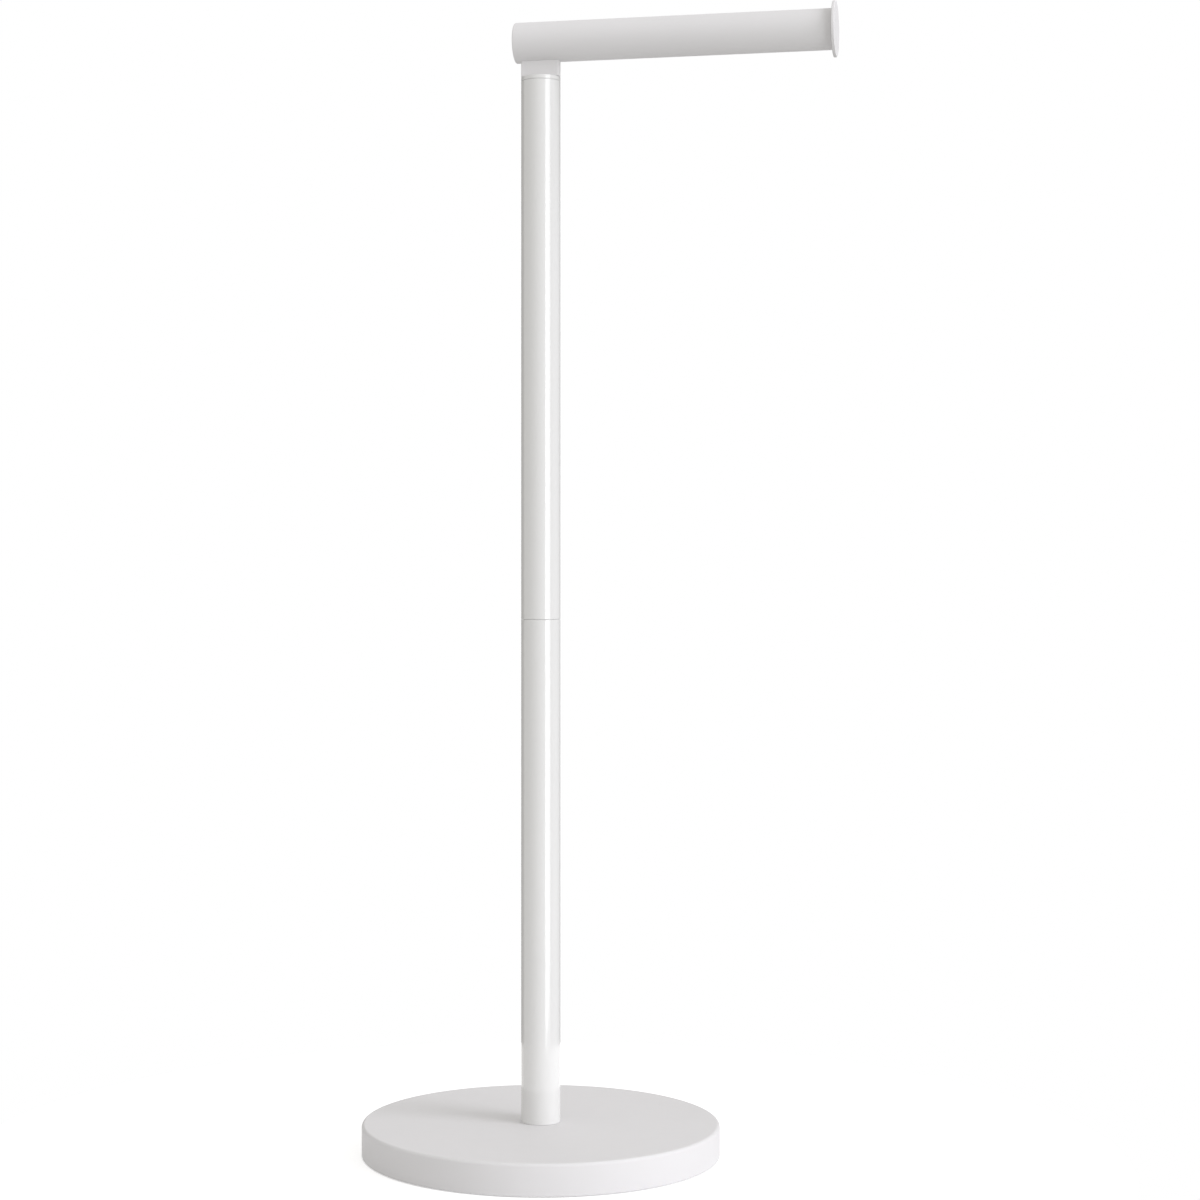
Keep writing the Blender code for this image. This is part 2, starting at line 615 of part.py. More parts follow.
def neck_stud(carrier):
    """Stud from the neck's socket up through the arm's wall, the saddle washer and the nut."""
    bottom = STUD_SOCKET_BOTTOM + GAP
    top = NUT_TOP + NECK_STUD_TIP
    profile = [
        (0.0, top),
        (NECK_STUD_RADIUS - NECK_STUD_CHAMFER, top),
        (NECK_STUD_RADIUS, top - NECK_STUD_CHAMFER),
        (NECK_STUD_RADIUS, bottom + NECK_STUD_CHAMFER),
        (NECK_STUD_RADIUS - NECK_STUD_CHAMFER, bottom),
        (0.0, bottom),
    ]
    return turned_piece("neck_stud", profile, SMALL_STEPS, "zinc_steel", carrier, closed=False)


def saddle_washer(carrier):
    """Washer inside the arm: flat on top, curved below to fit the bore."""
    outer = SADDLE_WASHER_DIAMETER / 2
    profile = ring_profile(outer, NECK_STUD_RADIUS + GAP, SADDLE_BOTTOM - OVERRUN, SADDLE_TOP)
    washer = turned_piece("saddle_washer", profile, SMALL_STEPS, "zinc_steel", carrier)
    reach = outer + OVERRUN
    curve_mesh = prism_mesh("saddle_curve", ARM_BORE_RADIUS - GAP, -reach, reach, TUBE_STEPS)
    curve = cutter_from_mesh("saddle_curve", curve_mesh)
    along_arm(curve)
    combine(washer, curve, "INTERSECT")
    return washer


def arm_nut(carrier):
    """Hexagon nut with chamfered corners."""
    corner_radius = NUT_ACROSS_FLATS / 2 / math.cos(math.pi / HEXAGON)
    chamfered = ring_profile(
        corner_radius, NECK_STUD_RADIUS + GAP, NUT_BOTTOM, NUT_TOP, chamfer=NUT_CHAMFER
    )
    nut = turned_piece("arm_nut", chamfered, SMALL_STEPS, "zinc_steel", carrier)
    prism = prism_mesh("nut_hexagon", corner_radius, NUT_BOTTOM - OVERRUN, NUT_TOP + OVERRUN, HEXAGON)
    combine(nut, cutter_from_mesh("nut_hexagon", prism), "INTERSECT")
    return nut


def flange_plug(carrier):
    """Threaded plug in the arm's front end."""
    bore = FLANGE_SPIGOT_DIAMETER / 2 + GAP
    back = ARM_REACH - FLANGE_PLUG_LENGTH
    plug = threaded_plug("flange_plug", ARM_PLUG_RADIUS, bore, back, ARM_REACH, carrier)
    along_arm(plug)
    return plug


def flange_cap(carrier):
    """Thin round flange with a threaded spigot behind it."""
    outer = FLANGE_DIAMETER / 2
    spigot = FLANGE_SPIGOT_DIAMETER / 2
    back = ARM_REACH + GAP
    front = back + FLANGE_THICKNESS
    edge_radius = outer - FLANGE_EDGE_RADIUS
    tail = back - FLANGE_SPIGOT_LENGTH
    profile = [(0.0, front)]
    front_edge = front - FLANGE_EDGE_RADIUS
    back_edge = back + FLANGE_EDGE_RADIUS
    profile += arc(edge_radius, front_edge, FLANGE_EDGE_RADIUS, 90.0, 0.0, FINE_EDGE_STEPS)
    profile += arc(edge_radius, back_edge, FLANGE_EDGE_RADIUS, 0.0, -90.0, FINE_EDGE_STEPS)
    profile.append((spigot, back))
    profile.append((spigot, tail + PLUG_CHAMFER))
    profile.append((spigot - PLUG_CHAMFER, tail))
    profile.append((0.0, tail))
    cap = turned_piece("flange_cap", profile, TUBE_STEPS, "matt_white", carrier, closed=False)
    along_arm(cap)
    return cap


def pivot(name, carrier=None):
    """An empty that carries pieces."""
    empty = bpy.data.objects.new(name, None)
    bpy.context.scene.collection.objects.link(empty)
    empty.parent = carrier
    return empty


def build_stand(carrier):
    """Base and post: everything that stays still."""
    base_cover(carrier)
    base_weight(carrier)
    base_pad(carrier)
    base_washer(carrier)
    base_bolt(carrier)
    post_tube("lower_tube", LOWER_TUBE_BOTTOM, LOWER_TUBE_TOP, carrier)
    post_tube("upper_tube", UPPER_TUBE_BOTTOM, UPPER_TUBE_TOP, carrier)
    post_plugs(carrier)
    joint_stud(carrier)
    head_plug(carrier)
    swivel_washer(carrier)


def build_arm(carrier):
    """Neck and arm: everything that turns about the post's axis."""
    neck(carrier)
    wave_washer(carrier)
    retaining_ring(carrier)
    arm_tube(carrier)
    arm_end_plug(carrier)
    neck_stud(carrier)
    saddle_washer(carrier)
    arm_nut(carrier)
    flange_plug(carrier)
    flange_cap(carrier)


clear_scene()
PIECES = new_collection("toilet_paper_holder")
CUTTERS = new_collection("cutters")
STAND = pivot("stand")
build_stand(STAND)
build_arm(pivot("arm_swivel_axis", STAND))
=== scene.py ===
import json
import math

import bmesh
import bpy
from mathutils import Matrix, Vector


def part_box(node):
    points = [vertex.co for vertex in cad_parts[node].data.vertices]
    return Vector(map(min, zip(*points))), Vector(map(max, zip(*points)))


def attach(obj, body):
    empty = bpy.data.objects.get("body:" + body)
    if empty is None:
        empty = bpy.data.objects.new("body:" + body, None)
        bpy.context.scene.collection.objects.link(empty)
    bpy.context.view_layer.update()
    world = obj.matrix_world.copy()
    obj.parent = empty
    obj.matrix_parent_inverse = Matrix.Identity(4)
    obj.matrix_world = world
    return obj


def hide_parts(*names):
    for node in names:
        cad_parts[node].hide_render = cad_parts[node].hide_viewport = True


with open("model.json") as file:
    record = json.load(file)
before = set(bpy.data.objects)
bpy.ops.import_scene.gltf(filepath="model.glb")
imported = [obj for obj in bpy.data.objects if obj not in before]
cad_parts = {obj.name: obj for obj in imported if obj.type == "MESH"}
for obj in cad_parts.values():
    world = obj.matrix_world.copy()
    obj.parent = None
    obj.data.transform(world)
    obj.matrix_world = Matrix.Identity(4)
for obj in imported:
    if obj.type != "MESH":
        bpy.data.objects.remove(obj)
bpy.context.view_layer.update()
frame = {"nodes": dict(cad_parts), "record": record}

MM = 0.001
UP = Vector((0.0, 0.0, 1.0))

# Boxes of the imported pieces
COVER_LOW, COVER_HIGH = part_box("base_cover")
PAD_LOW, PAD_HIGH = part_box("base_pad")
LOWER_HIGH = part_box("lower_tube")[1]
UPPER_LOW, UPPER_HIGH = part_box("upper_tube")
PLUG_LOW, PLUG_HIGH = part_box("head_plug")
NECK_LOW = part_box("neck")[0]
ARM_LOW, ARM_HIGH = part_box("arm_tube")
END_LOW, END_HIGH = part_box("arm_end_plug")
FLANGE_LOW, FLANGE_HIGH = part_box("flange_cap")
RING_LOW, RING_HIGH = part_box("retaining_ring")
SWIVEL_LOW, SWIVEL_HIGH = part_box("swivel_washer")
POST_PLUG_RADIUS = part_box("lower_joint_plug")[1].x

# Places and sizes that follow from the boxes
GAP = UPPER_LOW.z - LOWER_HIGH.z
BASE_RADIUS = COVER_HIGH.x
TUBE_RADIUS = LOWER_HIGH.x
BORE_RADIUS = POST_PLUG_RADIUS + GAP
COLLAR_TOP = PLUG_HIGH.z
NECK_BOTTOM = COLLAR_TOP + GAP
ARM_AXIS_HEIGHT = (ARM_LOW.z + ARM_HIGH.z) / 2
ARM_RADIUS = ARM_HIGH.y
ARM_BORE_RADIUS = END_HIGH.y + GAP
FLANGE_RADIUS = FLANGE_HIGH.y
BEARING_RADIUS = SWIVEL_HIGH.x
BEARING_BOTTOM = SWIVEL_HIGH.z + GAP

# Sizes that the boxes don't give
BOLT_HOLE_RADIUS = 4.3 * MM
COVER_WALL = 1.2 * MM
HEAD_PLUG_WALL = 1.2 * MM
PLUG_CHAMFER = 0.8 * MM
NECK_FLATS = 6.8 * MM
SPIGOT_RADIUS = 5.0 * MM
GROOVE_RADIUS = 4.4 * MM
END_LIP = 1.6 * MM
END_FLOOR = 2.4 * MM
FLANGE_PLATE = 1.8 * MM
FLANGE_SPIGOT_RADIUS = 5.0 * MM

# Rounding of the edges
COVER_EDGE = 1.8 * MM
RIM_EDGE = 0.3 * MM
PAD_EDGE = 0.4 * MM
SEAM_EDGE = 0.2 * MM
COLLAR_EDGE = 0.2 * MM
NECK_EDGE = 0.3 * MM
SPIGOT_TIP_EDGE = 2 * NECK_EDGE
ARM_REAR_EDGE = 0.6 * MM
ARM_FRONT_EDGE = 0.35 * MM
END_FACE_EDGE = 0.2 * MM
FLANGE_EDGE = 0.45 * MM
INNER_EDGE = 0.2 * MM

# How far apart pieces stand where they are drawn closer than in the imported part
SEAT = 0.05 * MM
SEAM = 0.1 * MM

# Steps round a turn and along a rounded edge
BASE_STEPS = 288
ROUND_STEPS = 160
EDGE_STEPS = 6
NECK_SIDE_STEPS = 12

# When a point counts as on the axis, two points as one, and an edge as sharp
ON_AXIS = 1e-9
PLACE_DIGITS = 9
SHARP_ANGLE = math.radians(30.0)

# The camera at the photograph's angle, in the part's frame
CAMERA_PLACE = (0.2927, -1.3566, 0.3264)
CAMERA_TURN = math.radians(12.15)
CAMERA_LENS = 74.37
CAMERA_SENSOR = 36.0
CAMERA_SHIFT = (0.0484, -0.0252)


def new_object(name, data):
    """A new object of the scene."""
    item = bpy.data.objects.new(name, data)
    bpy.context.scene.collection.objects.link(item)
    return item


# Meshes

def fillet(before, corner, after, radius):
    """A rounded corner as (point, normal) pairs, for an outline with its material on the right."""
    if radius == 0.0:
        return None
    back = (before - corner).normalized()
    ahead = (after - corner).normalized()
    half = back.angle(ahead) / 2
    turn = math.pi - 2 * half
    reach = radius / math.tan(half)
    centre = corner + (back + ahead).normalized() * radius / math.sin(half)
    start = (corner + back * reach - centre).normalized()
    end = (corner + ahead * reach - centre).normalized()
    outward = 1.0 if back.cross(ahead) > 0 else -1.0
    pairs = []
    for index in range(EDGE_STEPS + 1):
        share = index / EDGE_STEPS
        first = math.sin((1 - share) * turn) / math.sin(turn)
        second = math.sin(share * turn) / math.sin(turn)
        spoke = start * first + end * second
        pairs.append((centre + spoke * radius, spoke * outward))
    return pairs


def outline_edges(outline):
    """The outline's edges as (start, end, normal at start, normal at end)."""
    corners = [Vector((radius, height)) for radius, height, _ in outline]
    count = len(corners)
    bends = []
    for index, (_, _, rounding) in enumerate(outline):
        bends.append(fillet(corners[index - 1], corners[index], corners[(index + 1) % count], rounding))
    edges = []
    for index in range(count):
        after = (index + 1) % count
        bend = bends[index]
        if bend:
            for (start, start_normal), (end, end_normal) in zip(bend, bend[1:]):
                edges.append((start, end, start_normal, end_normal))
        start = bend[-1][0] if bend else corners[index]
        end = bends[after][0][0] if bends[after] else corners[after]
        if max(start.x, end.x) < ON_AXIS:
            continue
        along = (end - start).normalized()
        normal = Vector((-along.y, along.x))
        edges.append((start, end, normal, normal))
    return edges


def turned(name, outline, steps=ROUND_STEPS):
    """A body turned about Z from (radius, height, rounding) corners that run down its outer side."""
    corners, faces, normals, rings = [], [], [], {}

    def ring(point):
        key = (round(point.x, PLACE_DIGITS), round(point.y, PLACE_DIGITS))
        if key not in rings:
            spread = steps if point.x > ON_AXIS else 1
            rings[key] = [len(corners) + index for index in range(spread)]
            for index in range(spread):
                angle = math.tau * index / steps
                corners.append((point.x * math.cos(angle), point.x * math.sin(angle), point.y))
        return rings[key]

    def normal_at(normal, index):
        angle = math.tau * index / steps
        return (normal.x * math.cos(angle), normal.x * math.sin(angle), normal.y)

    for start, end, start_normal, end_normal in outline_edges(outline):
        first, second = ring(start), ring(end)
        for index in range(steps):
            after = index + 1
            middle = index + 0.5
            if len(first) == 1:
                faces.append((first[0], second[index], second[after % steps]))
                normals += [normal_at(start_normal, middle)]
                normals += [normal_at(end_normal, index), normal_at(end_normal, after)]
            elif len(second) == 1:
                faces.append((first[index], second[0], first[after % steps]))
                normals += [normal_at(start_normal, index), normal_at(end_normal, middle)]
                normals += [normal_at(start_normal, after)]
            else:
                faces.append((first[index], second[index], second[after % steps], first[after % steps]))
                normals += [normal_at(start_normal, index), normal_at(end_normal, index)]
                normals += [normal_at(end_normal, after), normal_at(start_normal, after)]
    mesh = bpy.data.meshes.new(name)
    mesh.from_pydata(corners, [], faces)
    mesh.shade_smooth()
    mesh.normals_split_custom_set(normals)
    return new_object(name, mesh)


def along_arm(piece):
    """Lay a body turned about Z down along the arm, its top end in front."""
    piece.rotation_euler = (0.0, math.pi / 2, 0.0)
    piece.location = (0.0, 0.0, ARM_AXIS_HEIGHT)
    return piece


# Materials

MATT_WHITE = (0.765, 0.755, 0.76)
GLOSS_WHITE = (0.77, 0.767, 0.758)
IRON_GREY = (0.16, 0.16, 0.17)
ZINC_GREY = (0.55, 0.56, 0.58)
SPRING_GREY = (0.30, 0.31, 0.33)
NYLON_WHITE = (0.80, 0.79, 0.76)
RUBBER_GREY = (0.12, 0.12, 0.12)

PLAIN_IOR = 1.5
GLOSS_IOR = 1.75

# The noise keeps mostly within this reach of its middle value
NOISE_MIDDLE = 0.5
NOISE_REACH = 0.2


class Finish:
    """A material and its nodes, painted by noise in the piece's own coordinates."""

    def __init__(self, name, colour, metallic=0.0, ior=PLAIN_IOR):
        self.material = bpy.data.materials.new(name)
        self.material.use_nodes = True
        self.tree = self.material.node_tree
        self.shader = self.tree.nodes["Principled BSDF"]
        self.shader.inputs["Metallic"].default_value = metallic
        self.shader.inputs["IOR"].default_value = ior
        self.place = self.tree.nodes.new("ShaderNodeTexCoord").outputs["Object"]
        self.colour = colour

    def noise(self, scale, detail, stretch=None):
        """Noise over the surface; the scale is in features a metre."""
        source = self.place
        if stretch:
            mapping = self.tree.nodes.new("ShaderNodeMapping")
            mapping.inputs["Scale"].default_value = stretch
            self.tree.links.new(source, mapping.inputs["Vector"])
            source = mapping.outputs["Vector"]
        texture = self.tree.nodes.new("ShaderNodeTexNoise")
        texture.inputs["Scale"].default_value = scale
        texture.inputs["Detail"].default_value = detail
        self.tree.links.new(source, texture.inputs["Vector"])
        return texture.outputs["Fac"]

    def spread(self, source, low, high):
        """Noise mapped to a range of values."""
        node = self.tree.nodes.new("ShaderNodeMapRange")
        node.inputs["From Min"].default_value = NOISE_MIDDLE - NOISE_REACH
        node.inputs["From Max"].default_value = NOISE_MIDDLE + NOISE_REACH
        node.inputs["To Min"].default_value = low
        node.inputs["To Max"].default_value = high
        self.tree.links.new(source, node.inputs["Value"])
        return node.outputs["Result"]

    def shade(self, source, darker):
        """Colour that drifts between the finish's own and a slightly darker one."""
        mix = self.tree.nodes.new("ShaderNodeMix")
        mix.data_type = "RGBA"
        mix.inputs["A"].default_value = (*(value * darker for value in self.colour), 1.0)
        mix.inputs["B"].default_value = (*self.colour, 1.0)
        self.tree.links.new(self.spread(source, 0.0, 1.0), mix.inputs["Factor"])
        self.tree.links.new(mix.outputs["Result"], self.shader.inputs["Base Color"])

    def rough(self, source, low, high):
        """Roughness that drifts between two values."""
        self.tree.links.new(self.spread(source, low, high), self.shader.inputs["Roughness"])

    def bump(self, source, height, under=None):
        """Raise the surface by noise, over another bump if one is given; the height is in metres."""
        node = self.tree.nodes.new("ShaderNodeBump")
        node.inputs["Distance"].default_value = height
        self.tree.links.new(source, node.inputs["Height"])
        if under:
            self.tree.links.new(under, node.inputs["Normal"])
        self.tree.links.new(node.outputs["Normal"], self.shader.inputs["Normal"])
        return node.outputs["Normal"]


def matt_coat():
    """Fine-grained powder coat."""
    finish = Finish("matt_white_coat", MATT_WHITE)
    finish.shade(finish.noise(scale=18.0, detail=3.0), darker=0.985)
    finish.rough(finish.noise(scale=160.0, detail=3.0), low=0.58, high=0.68)
    coarse = finish.bump(finish.noise(scale=900.0, detail=2.0), height=0.010 * MM)
    finish.bump(finish.noise(scale=3200.0, detail=2.0), height=0.012 * MM, under=coarse)
    return finish.material


def gloss_coat():
    """Smooth lacquer with a faint orange peel."""
    finish = Finish("gloss_white_coat", GLOSS_WHITE, ior=GLOSS_IOR)
    finish.shade(finish.noise(scale=14.0, detail=3.0), darker=0.99)
    finish.rough(finish.noise(scale=60.0, detail=3.0), low=0.06, high=0.09)
    finish.bump(finish.noise(scale=260.0, detail=1.0), height=0.002 * MM)
    return finish.material


def cast_iron():
    """Rough iron, as cast."""
    finish = Finish("cast_iron", IRON_GREY, metallic=0.8)
    finish.shade(finish.noise(scale=90.0, detail=4.0), darker=0.7)
    finish.rough(finish.noise(scale=220.0, detail=4.0), low=0.55, high=0.78)
    coarse = finish.bump(finish.noise(scale=500.0, detail=3.0), height=0.12 * MM)
    finish.bump(finish.noise(scale=1600.0, detail=3.0), height=0.05 * MM, under=coarse)
    return finish.material


def zinc_steel():
    """Bright zinc plate with fine turning marks."""
    finish = Finish("zinc_steel", ZINC_GREY, metallic=1.0)
    finish.shade(finish.noise(scale=120.0, detail=4.0), darker=0.88)
    finish.rough(finish.noise(scale=500.0, detail=3.0), low=0.26, high=0.42)
    finish.bump(finish.noise(scale=900.0, detail=2.0, stretch=(1.0, 1.0, 8.0)), height=0.006 * MM)
    return finish.material


def spring_steel():
    """Dark oiled spring steel."""
    finish = Finish("spring_steel", SPRING_GREY, metallic=1.0)
    finish.shade(finish.noise(scale=200.0, detail=4.0), darker=0.8)
    finish.rough(finish.noise(scale=600.0, detail=3.0), low=0.22, high=0.38)
    finish.bump(finish.noise(scale=1800.0, detail=2.0), height=0.004 * MM)
    return finish.material


def white_nylon():
    """Plain off-white nylon."""
    finish = Finish("white_nylon", NYLON_WHITE)
    finish.shade(finish.noise(scale=100.0, detail=3.0), darker=0.95)
    finish.rough(finish.noise(scale=400.0, detail=3.0), low=0.38, high=0.5)
    finish.bump(finish.noise(scale=1500.0, detail=2.0), height=0.01 * MM)
    return finish.material


def grey_rubber():
    """Finely textured dark rubber."""
    finish = Finish("grey_rubber", RUBBER_GREY)
    finish.shade(finish.noise(scale=70.0, detail=4.0), darker=0.8)
    finish.rough(finish.noise(scale=300.0, detail=3.0), low=0.72, high=0.88)
    coarse = finish.bump(finish.noise(scale=700.0, detail=2.0), height=0.06 * MM)
    finish.bump(finish.noise(scale=2600.0, detail=2.0), height=0.03 * MM, under=coarse)
    return finish.material


COATS = {
    "matt_white_coat": matt_coat(),
    "gloss_white_coat": gloss_coat(),
    "cast_iron": cast_iron(),
    "zinc_steel": zinc_steel(),
    "spring_steel": spring_steel(),
    "white_nylon": white_nylon(),
    "grey_rubber": grey_rubber(),
}


# Pieces

def dress(piece, body, slot, *nodes):
    """Give a new piece its finish, the body that it rides on and the nodes that it stands for."""
    piece.data.materials.append(COATS[slot])
    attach(piece, body)
    if nodes:
        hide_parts(*nodes)


def base_shell():
    """Pressed shell with a softly rounded top edge."""
    inner_edge = COVER_EDGE - COVER_WALL
    outline = [
        (BOLT_HOLE_RADIUS, COVER_HIGH.z, INNER_EDGE),
        (BASE_RADIUS, COVER_HIGH.z, COVER_EDGE),
        (BASE_RADIUS, COVER_LOW.z, RIM_EDGE),
        (BASE_RADIUS - COVER_WALL, COVER_LOW.z, RIM_EDGE),
        (BASE_RADIUS - COVER_WALL, COVER_HIGH.z - COVER_WALL, inner_edge),
        (BOLT_HOLE_RADIUS, COVER_HIGH.z - COVER_WALL, INNER_EDGE),
    ]
    dress(turned("base_shell", outline, BASE_STEPS), "stand", "matt_white_coat", "base_cover")


def grip_pad():
    """Anti-slip disc under the base."""
    outline = [
        (0.0, PAD_HIGH.z, 0.0),
        (PAD_HIGH.x, PAD_HIGH.z, INNER_EDGE),
        (PAD_HIGH.x, PAD_LOW.z, PAD_EDGE),
        (0.0, PAD_LOW.z, 0.0),
    ]
    dress(turned("grip_pad", outline, BASE_STEPS), "stand", "grey_rubber", "base_pad")


def post_length(name, node, low, high):
    """One tube of the post, its end edges softened."""
    outline = [
        (TUBE_RADIUS, high, SEAM_EDGE),
        (TUBE_RADIUS, low, SEAM_EDGE),
        (BORE_RADIUS, low, INNER_EDGE),
        (BORE_RADIUS, high, INNER_EDGE),
    ]
    dress(turned(name, outline), "stand", "gloss_white_coat", node)


def collar():
    """The head plug: its flange shows as the collar, its top is sunk for the bearing disc."""
    recess_radius = POST_PLUG_RADIUS - HEAD_PLUG_WALL
    recess_bottom = SWIVEL_LOW.z - GAP
    bore = SPIGOT_RADIUS + GAP
    collar_bottom = UPPER_HIGH.z + SEAM
    outline = [
        (TUBE_RADIUS, COLLAR_TOP, COLLAR_EDGE),
        (TUBE_RADIUS, collar_bottom, COLLAR_EDGE),
        (POST_PLUG_RADIUS, collar_bottom, INNER_EDGE),
        (POST_PLUG_RADIUS, PLUG_LOW.z + PLUG_CHAMFER, INNER_EDGE),
        (POST_PLUG_RADIUS - PLUG_CHAMFER, PLUG_LOW.z, INNER_EDGE),
        (bore, PLUG_LOW.z, INNER_EDGE),
        (bore, recess_bottom, INNER_EDGE),
        (recess_radius, recess_bottom, INNER_EDGE),
        (recess_radius, COLLAR_TOP, INNER_EDGE),
    ]
    dress(turned("collar", outline), "stand", "gloss_white_coat", "head_plug")


def neck_side(half):
    """Points of the neck's right side from front to back: a rounded corner, the round, a rounded corner."""
    corner_y = half - NECK_EDGE
    corner_x = math.sqrt((TUBE_RADIUS - NECK_EDGE) ** 2 - corner_y ** 2)
    turn = math.atan2(corner_y, corner_x)
    points = []
    for index in range(EDGE_STEPS + 1):
        angle = -math.pi / 2 + (math.pi / 2 - turn) * index / EDGE_STEPS
        points.append((corner_x + NECK_EDGE * math.cos(angle), -corner_y + NECK_EDGE * math.sin(angle)))
    for index in range(1, NECK_SIDE_STEPS):
        angle = -turn + 2 * turn * index / NECK_SIDE_STEPS
        points.append((TUBE_RADIUS * math.cos(angle), TUBE_RADIUS * math.sin(angle)))
    for x, y in reversed(points[:EDGE_STEPS + 1]):
        points.append((x, -y))
    return points


def neck_bar():
    """Flat-sided neck with a saddle on top that follows the arm."""
    half = NECK_FLATS / 2
    side = neck_side(half)
    saddle = ARM_RADIUS + SEAT
    shape = bmesh.new()

    def level(inset, height):
        right = [shape.verts.new((x - inset, y * (half - inset) / half, height(y))) for x, y in side]
        left = [shape.verts.new((-corner.co.x, corner.co.y, corner.co.z)) for corner in right]
        return right, left

    def floor(_):
        return NECK_BOTTOM

    def ease(_):
        return NECK_BOTTOM + NECK_EDGE

    def top(y):
        return ARM_AXIS_HEIGHT - math.sqrt(saddle ** 2 - y ** 2)

    levels = [level(NECK_EDGE, floor), level(0.0, ease), level(0.0, top)]
    for (low_right, low_left), (high_right, high_left) in zip(levels, levels[1:]):
        lower = low_right + low_left[::-1]
        upper = high_right + high_left[::-1]
        for index in range(len(lower)):
            after = (index + 1) % len(lower)
            shape.faces.new((lower[index], lower[after], upper[after], upper[index]))
    for right, left in (levels[0], levels[-1]):
        for index in range(len(right) - 1):
            shape.faces.new((right[index], right[index + 1], left[index + 1], left[index]))
    bmesh.ops.recalc_face_normals(shape, faces=shape.faces[:])
    mesh = bpy.data.meshes.new("neck_bar")
    shape.to_mesh(mesh)
    shape.free()
    mesh.shade_smooth()
    mesh.set_sharp_from_angle(angle=SHARP_ANGLE)
    piece = new_object("neck_bar", mesh)
    weighted = piece.modifiers.new("even_shading", "WEIGHTED_NORMAL")
    weighted.keep_sharp = True
    dress(piece, "arm", "matt_white_coat", "neck")


def neck_spigot():
    """Bearing disc and grooved spigot under the neck, a part of the same node."""
    boss = NECK_FLATS / 2 - INNER_EDGE
    outline = [
        (0.0, NECK_BOTTOM + NECK_EDGE, 0.0),
        (boss, NECK_BOTTOM + NECK_EDGE, 0.0),
        (boss, COLLAR_TOP, 0.0),
        (BEARING_RADIUS, COLLAR_TOP, INNER_EDGE),
        (BEARING_RADIUS, BEARING_BOTTOM, INNER_EDGE),
        (SPIGOT_RADIUS, BEARING_BOTTOM, INNER_EDGE),
        (SPIGOT_RADIUS, RING_HIGH.z + GAP, 0.0),
        (GROOVE_RADIUS, RING_HIGH.z + GAP, 0.0),
        (GROOVE_RADIUS, RING_LOW.z - GAP, 0.0),
        (SPIGOT_RADIUS, RING_LOW.z - GAP, 0.0),
        (SPIGOT_RADIUS, NECK_LOW.z, SPIGOT_TIP_EDGE),
        (0.0, NECK_LOW.z, 0.0),
    ]
    dress(turned("neck_spigot", outline), "arm", "matt_white_coat")


def arm_bar():
    """The arm's tube."""
    outline = [
        (ARM_RADIUS, ARM_HIGH.x, ARM_FRONT_EDGE),
        (ARM_RADIUS, ARM_LOW.x, ARM_REAR_EDGE),
        (ARM_BORE_RADIUS, ARM_LOW.x, END_FACE_EDGE),
        (ARM_BORE_RADIUS, ARM_HIGH.x, INNER_EDGE),
    ]
    dress(along_arm(turned("arm_bar", outline)), "arm", "matt_white_coat", "arm_tube")


def arm_end():
    """Cup that closes the arm's rear end."""
    radius = END_HIGH.y
    inner_floor = END_HIGH.x - END_FLOOR
    outline = [
        (0.0, inner_floor, 0.0),
        (radius - END_LIP, inner_floor, INNER_EDGE),
        (radius - END_LIP, END_HIGH.x, INNER_EDGE),
        (radius, END_HIGH.x, INNER_EDGE),
        (radius, END_LOW.x, END_FACE_EDGE),
        (0.0, END_LOW.x, 0.0),
    ]
    dress(along_arm(turned("arm_end", outline)), "arm", "matt_white_coat", "arm_end_plug")


def flange():
    """Thin round flange with its spigot."""
    back = FLANGE_HIGH.x - FLANGE_PLATE
    outline = [
        (0.0, FLANGE_HIGH.x, 0.0),
        (FLANGE_RADIUS, FLANGE_HIGH.x, FLANGE_EDGE),
        (FLANGE_RADIUS, back, FLANGE_EDGE),
        (FLANGE_SPIGOT_RADIUS, back, INNER_EDGE),
        (FLANGE_SPIGOT_RADIUS, FLANGE_LOW.x, PLUG_CHAMFER),
        (0.0, FLANGE_LOW.x, 0.0),
    ]
    dress(along_arm(turned("flange", outline)), "arm", "matt_white_coat", "flange_cap")


def keep_nodes():
    """Finish the pieces inside, which keep their own shapes."""
    slots = {part["node"]: part["material_slot"] for part in frame["record"]["subparts"]}
    for name, node in frame["nodes"].items():
        if not node.hide_render:
            node.data.materials.clear()
            node.data.materials.append(COATS[slots[name]])


base_shell()
grip_pad()
post_length("post_lower", "lower_tube", COVER_HIGH.z + SEAT, LOWER_HIGH.z)
post_length("post_upper", "upper_tube", LOWER_HIGH.z + SEAM, UPPER_HIGH.z)
collar()
neck_bar()
neck_spigot()
arm_bar()
arm_end()
flange()
keep_nodes()


# Stage

WHITE = (1.0, 1.0, 1.0)
BACKDROP_STRENGTH = 1.0
FILL_TINT = (1.0, 0.988, 0.965)
FILL_MIDDLE = 0.628
FILL_UPWARD = 0.12
FLOOR_RADIUS = 0.325
FLOOR_WHITE = 0.78
FLOOR_LIFT = 0.50

